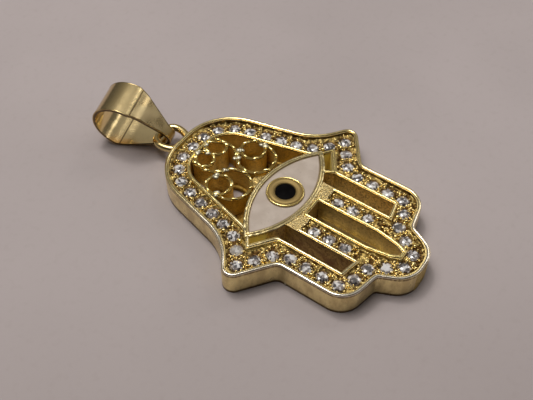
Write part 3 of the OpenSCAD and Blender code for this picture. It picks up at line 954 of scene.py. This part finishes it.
def closed_crests(name, material, *rows):
    """Crests along closed lines, each row a line, its crest and a seed."""
    build = Builder()
    for line, crest, seed in rows:
        bead_line(build, resample(line), crest, seed)
    build.make(name, material)


def inner_rims():
    """Crests round the windows, down the bars' outer sides and on the thumb's short wall."""
    build = Builder()
    mid = INNER_RIM_W / 2
    bar_x = BAR_OUT - mid
    path = resample(outline(BORDER_W - mid))
    keep = (np.abs(path[:, 0]) > bar_x - 0.02) | (path[:, 1] > 0)
    for k, (p, c) in enumerate(runs(path, keep)):
        bead_line(build, resample(p, c), INNER_CREST, 11 + k, c)
    crossing = path[(np.abs(np.abs(path[:, 0]) - bar_x) < 0.1) & (path[:, 1] < -6)]
    y_end = crossing[:, 1].mean()
    for s in (-1, 1):
        p = resample([(s * bar_x, y_end), (s * bar_x, BAR_CREST_END)], False)
        bead_line(build, p, BAR_CREST, 31 + s, False)
    root = inset_corner(CROOK, BORDER_W - mid)
    eye = np.array([0, EYE_SINK])
    reach = norm(eye - root)
    end = root + (eye - root) * (reach - EYE_ARC - BEZEL_W / 2) / reach
    bead_line(build, resample([root, end], False), BAR_CREST, 42, False)
    build.make("inner_rim_crests", inner_gold)


# How far the draft's middle stands off the walls, and off the bezel beyond DRAFT_X.
DRAFT_IN = 0.16
DRAFT_TIP = 0.40
DRAFT_X = 2.0
DRAFT_H = 0.22
DRAFT = Crest(DRAFT_H + 0.02, 0.32, DRAFT_H, 0.1, 8, 10)
TIP_DRAFT = DRAFT._replace(half_w=DRAFT_TIP * 1.6)


def window_draft():
    """A low ledge, coloured as painted shade, that narrows the palm's openings at their foot."""
    build = Builder()
    hall = outline(BORDER_W - 0.05)
    for mirror in (1, -1):
        centre, r = ring_centre(LOWER)
        p = centre * (mirror, 1) + (r - DRAFT_IN) * circle(60)
        for q, c in runs(p, in_polygon(p, hall) & ~in_almond(p, BEZEL_W)):
            bead_line(build, resample(q, c), DRAFT, 71 + mirror, c)
    p = resample(outline(BORDER_W + DRAFT_IN))
    for q, c in runs(p, (p[:, 1] > 0.2) & ~in_almond(p, BEZEL_W - 0.1)):
        bead_line(build, q, DRAFT, 75, c)
    p = resample(almond_line(BEZEL_W + DRAFT_TIP))
    keep = (p[:, 1] > 0.1) & (np.abs(p[:, 0]) > DRAFT_X) & in_polygon(p, outline(BORDER_W - 0.2))
    for q, c in runs(p, keep):
        bead_line(build, q, TIP_DRAFT, 76, c)
    build.make("window_draft", draft_shade)


DASH_PITCH = 1.0
DASH_LENGTHS = 0.26, 0.44
DASH_WIDTHS = 0.12, 0.19
DASH_HEIGHTS = 0.12, 0.18
DASH_SHIFT = 0.1
DASH_JITTER = 0.04
DASH_AIM = 0.05


def dashes(build, rng, path, closed):
    """Short bright crests with breaks between, as on wire twisted and rolled flat."""
    line = np.vstack([path, path[:1]]) if closed else path
    run = distances(line)
    count = max(1, int(round(run[-1] / DASH_PITCH)))
    verts, faces = BALL_2
    for k in range(count):
        at = (k + 0.5 + rng.uniform(-DASH_SHIFT, DASH_SHIFT)) * run[-1] / count
        p, q = ([np.interp(at + s * DASH_AIM, run, line[:, i]) for i in (0, 1)] for s in (-1, 1))
        p = np.array(p) + rng.uniform(-DASH_JITTER, DASH_JITTER, 2)
        q = np.array(q) + rng.uniform(-DASH_JITTER, DASH_JITTER, 2) * 0.5
        t = q - p
        t /= norm(t)
        half = DASH_PITCH * rng.uniform(*DASH_LENGTHS)
        shape = verts * (half, rng.uniform(*DASH_WIDTHS), rng.uniform(*DASH_HEIGHTS))
        spot = np.stack([
            p[0] + shape[:, 0] * t[0] - shape[:, 1] * t[1],
            p[1] + shape[:, 0] * t[1] + shape[:, 1] * t[0],
            FILIGREE_Z + shape[:, 2],
        ], axis=1)
        build.add(spot, faces)


# How near rings touch from outside and inside, and the half distance of crossings taken as one.
NEAR_OUTSIDE = 0.25
NEAR_INSIDE = 0.1
ONE_SPOT = 0.15


def meeting_points(rings):
    """Where two rings cross or nearly touch."""
    spots = []
    for i, (c, r) in enumerate(rings):
        for d, q in rings[:i]:
            apart = norm(d - c)
            if apart > r + q + NEAR_OUTSIDE or apart < max(abs(r - q) - NEAR_INSIDE, 0.01):
                continue
            u = (d - c) / apart
            a = (apart ** 2 + r ** 2 - q ** 2) / (2 * apart)
            h = math.sqrt(max(0.0, r * r - a * a))
            for s in (-1, 1) if h > ONE_SPOT else (0,):
                spots.append(c + u * a + s * h * np.array([-u[1], u[0]]))
    return spots


SOLDER_LUMPS = 3
SOLDER_SPREAD = 0.18
SOLDER_RADII = 0.15, 0.24


def filigree_crests():
    """Dashes along the filigree's wires, and lumps of solder where they meet and end."""
    build, blobs = Builder(), Builder()
    rng = RandomState(100)
    hall = outline(BORDER_W - 0.05)
    arcs = []
    for mirror in (1, -1):
        for g in (CROWN, SIDES, LOWER):
            p = ring_points(g, mirror)
            keep = in_polygon(p, hall) & ~in_almond(p, BEZEL_W - 0.05)
            if g is LOWER:
                keep &= outside(p, SIDES, mirror)
            arcs += runs(p, keep)
    p = ring_points(ARCH)
    keep = in_polygon(p, hall) & (p[:, 1] > BEZEL_OUT + WINDOW_H / 2)
    for g in (SIDES, LOWER):
        keep &= outside(p, g) & outside(p, g, -1)
    arcs += runs(p, keep)
    for q, c in arcs:
        dashes(build, rng, q, c)
    build.make("filigree_crests", crest_gold)
    ends = [end for q, c in arcs if not c for end in (q[0], q[-1])]
    rings = []
    for g in (CROWN, SIDES, LOWER):
        c, r = ring_centre(g)
        rings += [(c, r), (c * (-1, 1), r)]
    spots = np.array(meeting_points(rings) + ends)
    keep = in_polygon(spots, outline(BORDER_W - INNER_RIM_W)) & ~in_almond(spots, BEZEL_W - 0.15)
    for x, y in spots[keep]:
        for _ in range(SOLDER_LUMPS):
            dx, dy = rng.uniform(-SOLDER_SPREAD, SOLDER_SPREAD, 2)
            lump(blobs, rng, x + dx, y + dy, FILIGREE_Z, rng.uniform(*SOLDER_RADII), 0.7, 0.2, True)
    blobs.make("filigree_solder", solder)


def iris_edge():
    """The bright outer edge of the iris ring, just above the enamel."""
    build = Builder()
    enamel_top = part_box("eye_enamel")[1].z / MM
    crest = Crest(enamel_top + 0.10, 0.08, 0.09, 0.06, 9, 8)
    bead_line(build, (IRIS_R - 0.03) * circle(72), crest, 63)
    build.make("iris_edge", crest_gold)


closed_crests("outer_rim_crest", rim_gold, (outline(RIM_W / 2 - 0.04), OUTER_CREST, 3))
inner_rims()
window_draft()
closed_crests("slot_rim_crest", crest_gold, (slot_line(INNER_RIM_W / 2), SLOT_CREST, 7))
filigree_crests()
closed_crests(
    "bezel_crests", bezel_gold,
    (almond_line(0.10), BEZEL_INNER_CREST, 61),
    (almond_line(0.30), BEZEL_OUTER_CREST, 62),
)
iris_edge()

# Setting beads, relief and grains.

BORDER_STONES = 41
RIGHT_STONES = 21
BEAD_OFF = 0.42
BEAD_RADII = 0.15, 0.20
CHIP_RADII = 0.07, 0.12
CHIP_OFF = 0.12, 0.62
CHIP_ALONG = 0.10, 0.22
CLAW_RADII = 0.08, 0.11
CLAW_OFF = STONE_D / 2 + 0.05


def bar_spots(side, places):
    return [(side * BAR_MID, -BAR_FIRST - k * BAR_PITCH) for k in places]


def stone_centres():
    """The border's stones down the right side and down the left, each from the top one."""
    rows = []
    for k in range(1, BORDER_STONES + 1):
        low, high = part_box(f"stone_{k:02d}")
        rows.append(((low.x + high.x) / 2 / MM, (low.y + high.y) / 2 / MM))
    return [np.array(rows[:RIGHT_STONES]), np.array(rows[:1] + rows[RIGHT_STONES:])]


def stone_spots():
    right, left = stone_centres()
    return [*right, *left, *bar_spots(-1, range(3)), *bar_spots(1, range(3))]


def setting_beads():
    """Beads and chips of metal between each pair of stones, and four claws at each stone."""
    rng = RandomState(20)
    build = Builder()
    lines = stone_centres() + [np.array(bar_spots(s, range(-1, 4))) for s in (1, -1)]
    for row, line in enumerate(lines):
        for p, q in zip(line[:-1], line[1:]):
            u = (q - p) / norm(q - p)
            n = np.array([u[1], -u[0]])
            m = (p + q) / 2
            for s in (-1, 1):
                off = BEAD_OFF + rng.uniform(-0.03, 0.03)
                at = m + n * s * off + u * rng.uniform(-0.06, 0.06)
                lump(build, rng, *at, CHANNEL_Z + 0.14, rng.uniform(*BEAD_RADII), 1.2, 0.15, True)
                for t in (-1, 1):
                    at = m + n * s * rng.uniform(*CHIP_OFF) + u * t * rng.uniform(*CHIP_ALONG)
                    lump(build, rng, *at, CHANNEL_Z + 0.04, rng.uniform(*CHIP_RADII), 1.1, 0.25)
        stones = line if row < 2 else line[1:-1]
        for p in stones:
            first = rng.uniform(0, math.pi / 2)
            for t in range(4):
                a = first + t * math.pi / 2 + rng.uniform(-0.2, 0.2)
                at = p + CLAW_OFF * np.array([math.cos(a), math.sin(a)])
                lump(build, rng, *at, CHANNEL_Z + 0.04, rng.uniform(*CLAW_RADII), 1.3, 0.2)
    build.make("setting_beads", bead_gold)


SAND_GRAINS = 420
SAND_X = -2.7, 2.7
SAND_Y = -3.3, -1.7
SAND_RADII = 0.03, 0.075


def sand_grain():
    rng = RandomState(8)
    build = Builder()
    made = 0
    while made < SAND_GRAINS:
        x, y = rng.uniform(*SAND_X), rng.uniform(*SAND_Y)
        in_slot = abs(x) < BAR_IN + INNER_RIM_W and y < -SLOT_TOP + INNER_RIM_W
        if in_slot or in_almond(np.array([[x, y]]), BEZEL_W - 0.02)[0]:
            continue
        lump(build, rng, x, y, BODY_H, rng.uniform(*SAND_RADII), 0.9, 0.3)
        made += 1
    build.make("patch_grain", bezel_gold)


WIDEST = HALF_W * 1.1
BAR_EDGE = BAR_OUT - INNER_RIM_W
FAR = 9.0
RELIEF_STEP = 0.06
WALL_STEP = 0.12
RELIEF_RISE = 0.18
RELIEF_GAIN = 1.7
RELIEF_CUT = 0.45
RELIEF_CELL = 0.26
FINE_CELL = RELIEF_CELL * 0.45
FINE_SHARE = 0.25
STONE_MOAT = 0.22
BANK_W = 0.14
BANK_RISE = 0.06
BANK_LEAST = 0.3
# How far the relief runs on into the walls.
HIDDEN = 0.05
NOISE_TABLE = 64
# Keeps the cells' numbers positive.
CELL_SHIFT = 1000


def bumps(p, cell, seed):
    """Smooth noise over the plane, from 0 to 1, with a new value at every cell."""
    table = RandomState(seed).uniform(0, 1, (NOISE_TABLE, NOISE_TABLE))
    u = p / cell + CELL_SHIFT
    i = np.floor(u).astype(int)
    f, g = smooth(u - i).T
    i, j = i.T % NOISE_TABLE
    k, m = (i + 1) % NOISE_TABLE, (j + 1) % NOISE_TABLE
    low = table[i, j] * (1 - f) + table[k, j] * f
    high = table[i, m] * (1 - f) + table[k, m] * f
    return low * (1 - g) + high * g


def nearest(p, spots):
    """Each point's distance to the nearest of spots."""
    near = np.full(len(p), FAR)
    for q in spots:
        np.minimum(near, np.hypot(*(p - q).T), out=near)
    return near


def in_channel(p, margin, slot_margin):
    """Whether each point lies in the stone channel or on a bar, clear of the walls by a margin."""
    low = p[:, 1] < -(BAR_FIRST - BAR_PITCH / 2 - 0.15)
    bars = (np.abs(p[:, 0]) < BAR_EDGE - margin) & low
    border = ~in_polygon(p, outline(BORDER_W - INNER_RIM_W - margin))
    slot = in_polygon(p, slot_line(INNER_RIM_W + slot_margin))
    return in_polygon(p, outline(RIM_W + margin)) & (border | bars) & ~slot


def relief_height(p, from_stone):
    lines = outline(RIM_W), slot_line(INNER_RIM_W), outline(BORDER_W - INNER_RIM_W)
    outer, slot, inner = (nearest(p, resample(line, step=WALL_STEP)) for line in lines)
    ax = np.abs(p[:, 0])
    in_bars = (ax < BAR_EDGE + HIDDEN) & (p[:, 1] < -(BAR_FIRST - BAR_PITCH))
    inner = np.where(in_bars, np.abs(ax - BAR_EDGE), inner)
    wall = np.minimum(np.minimum(outer, slot), inner)
    moat = np.clip((from_stone - STONE_D / 2) / STONE_MOAT, 0, 1)
    rise = bumps(p, RELIEF_CELL, 5) * (1 - FINE_SHARE) + bumps(p, FINE_CELL, 6) * FINE_SHARE
    bank = BANK_LEAST + (1 - BANK_LEAST) * bumps(p, RELIEF_CELL, 7)
    bank *= np.exp(-(wall / BANK_W) ** 2)
    pushed = RELIEF_RISE * np.clip(rise * RELIEF_GAIN - RELIEF_CUT, 0, 1)
    return CHANNEL_Z + 0.02 + moat * (pushed + BANK_RISE * bank)


def channel_relief():
    """The cut and pushed metal of the channel, drawn up at the walls and low at the stones."""
    xs = np.arange(-WIDEST, WIDEST, RELIEF_STEP)
    ys = np.arange(-FINGER_LEN, PALM_LEN, RELIEF_STEP)
    grid = np.stack(np.meshgrid(xs, ys, indexing="ij"), axis=2).reshape(-1, 2)
    keep = in_channel(grid, -HIDDEN, -HIDDEN)
    p = grid[keep]
    from_stone = nearest(p, stone_spots())
    order = np.full(len(grid), -1)
    order[keep] = np.arange(len(p))
    order = order.reshape(len(xs), len(ys))
    free = np.zeros(len(grid), bool)
    free[keep] = from_stone > STONE_D / 2 - 0.06
    free = free.reshape(len(xs), len(ys))
    i, j = np.nonzero(free[:-1, :-1] & free[1:, :-1] & free[1:, 1:] & free[:-1, 1:])
    faces = np.stack([order[i, j], order[i + 1, j], order[i + 1, j + 1], order[i, j + 1]], axis=1)
    used, faces = np.unique(faces, return_inverse=True)
    build = Builder()
    verts = np.column_stack([p, relief_height(p, from_stone)])
    build.add(verts[used], faces.reshape(-1, 4).tolist())
    build.make("channel_relief", channel_gold())


# Above GRAINY_BELOW only some grains are kept.
GRAIN_TRIES = 30000
CHANNEL_GRAINS = 400
GRAINY_BELOW = -2.0
GRAINS_ABOVE = 0.2
GRAIN_RADII = 0.07, 0.14


def channel_grain():
    """Rough grains all over the stone channel, clear of the stones."""
    rng = RandomState(31)
    build = Builder()
    p = np.stack([rng.uniform(-WIDEST, WIDEST, GRAIN_TRIES),
                  rng.uniform(-FINGER_LEN, PALM_LEN, GRAIN_TRIES)], axis=1)
    keep = in_channel(p, 0.04, 0.05)
    keep &= nearest(p, stone_spots()) > STONE_D / 2 + 0.03
    keep &= (p[:, 1] < GRAINY_BELOW) | (rng.uniform(0, 1, GRAIN_TRIES) < GRAINS_ABOVE)
    for x, y in p[keep][:CHANNEL_GRAINS]:
        r = rng.uniform(*GRAIN_RADII)
        lump(build, rng, x, y, CHANNEL_Z + 0.1, r, rng.uniform(0.9, 1.3), 0.2)
    build.make("channel_grain", bead_gold)


SOLDER_DOT = (-6.36, -4.44, 0.2)


def solder_dot():
    build = Builder()
    lump(build, RandomState(4), *SOLDER_DOT, 0.12, 1.1, 0.1, True)
    build.make("solder_dot", solder)


def tube(build, path, r, sides=8):
    """A closed round rod along a line in space."""
    t = tangents(path, True)
    u = np.cross(t, np.array(BAIL_TURN @ Vector((1, 0, 0))))
    u /= norm(u, axis=1)[:, None]
    v = np.cross(t, u)
    a = (np.arange(sides) * 2 * math.pi / sides)[None, :, None]
    ring = path[:, None] + r * (u[:, None] * np.cos(a) + v[:, None] * np.sin(a))
    build.add(ring.reshape(-1, 3), rod_faces(len(path), sides, True))


EDGE_INSET = 0.04
EDGE_R = EDGE_INSET + 0.015


def bail_edges():
    """The polished outer corners of the folded strip, on both cut sides, in a darker gold that is
    painted shade.
    """
    build = Builder()
    for side in (-1, 1):
        a = np.linspace(math.pi / 2 + BAIL_LEAN, 3 * math.pi / 2 - BAIL_LEAN, 24)
        b = np.linspace(-math.pi / 2 - BAIL_LEAN, math.pi / 2 + BAIL_LEAN, 60)
        tip = arc(a) * (BAIL_TIP_R - EDGE_INSET)
        big = arc(b) * (BAIL_R - EDGE_INSET) + (BAIL_LEN, 0)
        line = resample(np.vstack([tip, big]))
        share = np.clip(line[:, 0] / BAIL_LEN, 0, 1)
        across = side * (BAIL_TIP_HALF + (BAIL_HALF - BAIL_TIP_HALF) * share - EDGE_INSET)
        path = np.column_stack([across, line])
        tube(build, path @ np.array(BAIL_TURN).T + BAIL_PLACE, EDGE_R)
    build.make("bail_edges", edge_shade_gold, "bail", "bail_gold")


setting_beads()
sand_grain()
channel_relief()
channel_grain()
solder_dot()
bail_edges()

# Floor, world and lights.

FLOOR_HALF = 600
FLOOR_DROP = 0.02
# The world's light by height above the horizon, and the dark form of whoever looks on.
SKY = ((0.0, 0.09), (0.3, 0.13), (0.7, 0.24), (1.0, 0.40))
WARM = (1.0, 0.98, 0.95)
ONLOOKER = Vector((-AWAY[0], -AWAY[1], 0))
ONLOOKER_TONE = (0.03, 0.03, 0.03)
# Each light's place, size and power. All aim at the origin.
LIGHTS = {
    "top": ((-5, 60, 225), (120, 120), 0.28),
    "top_core": ((20, 70, 215), (24, 24), 0.06),
    "key": ((141, 0, 169), (40, 60), 0.024),
    "fill": ((172, -82, 106), (90, 40), 0.028),
}


def make_floor():
    mesh = bpy.data.meshes.new("floor")
    s = FLOOR_HALF * MM
    z = -FLOOR_DROP * MM
    mesh.from_pydata([(-s, -s, z), (s, -s, z), (s, s, z), (-s, s, z)], [], [(0, 1, 2, 3)])
    floor = bpy.data.objects.new("floor", mesh)
    floor.data.materials.append(floor_look())
    scene.collection.objects.link(floor)


def area_light(name, place, size, power):
    data = bpy.data.lights.new(name, "AREA")
    data.shape = "RECTANGLE"
    data.size, data.size_y = size[0] * MM, size[1] * MM
    data.energy = power
    data.color = WARM
    light = bpy.data.objects.new(name, data)
    light.location = Vector(place) * MM
    aim = (Vector() - Vector(place)).normalized()
    light.rotation_euler = aim.to_track_quat("-Z", "Y").to_euler()
    scene.collection.objects.link(light)


def make_world():
    world = bpy.data.worlds.new("studio")
    world.use_nodes = True
    nodes = Nodes(world.node_tree)
    nodes.tree.nodes.clear()
    way = nodes.node("TexCoord").outputs["Generated"]
    height = nodes.split(way)[2]
    sky = nodes.ramp(height, [(at, tuple(grey * tint for tint in WARM)) for at, grey in SKY])
    towards = nodes.range(nodes.dot(way, ONLOOKER), 0.1, 0.45)
    onlooker = nodes.product(towards, nodes.range(height, 0.93, 0.80))
    back = nodes.node("Background", {"Color": nodes.mix(onlooker, sky, ONLOOKER_TONE)})
    nodes.node("OutputWorld", {"Surface": back.outputs["Background"]})
    scene.world = world


make_floor()
make_world()
for name, (place, size, power) in LIGHTS.items():
    area_light(name, place, size, power)

scene.view_settings.view_transform = "Standard"
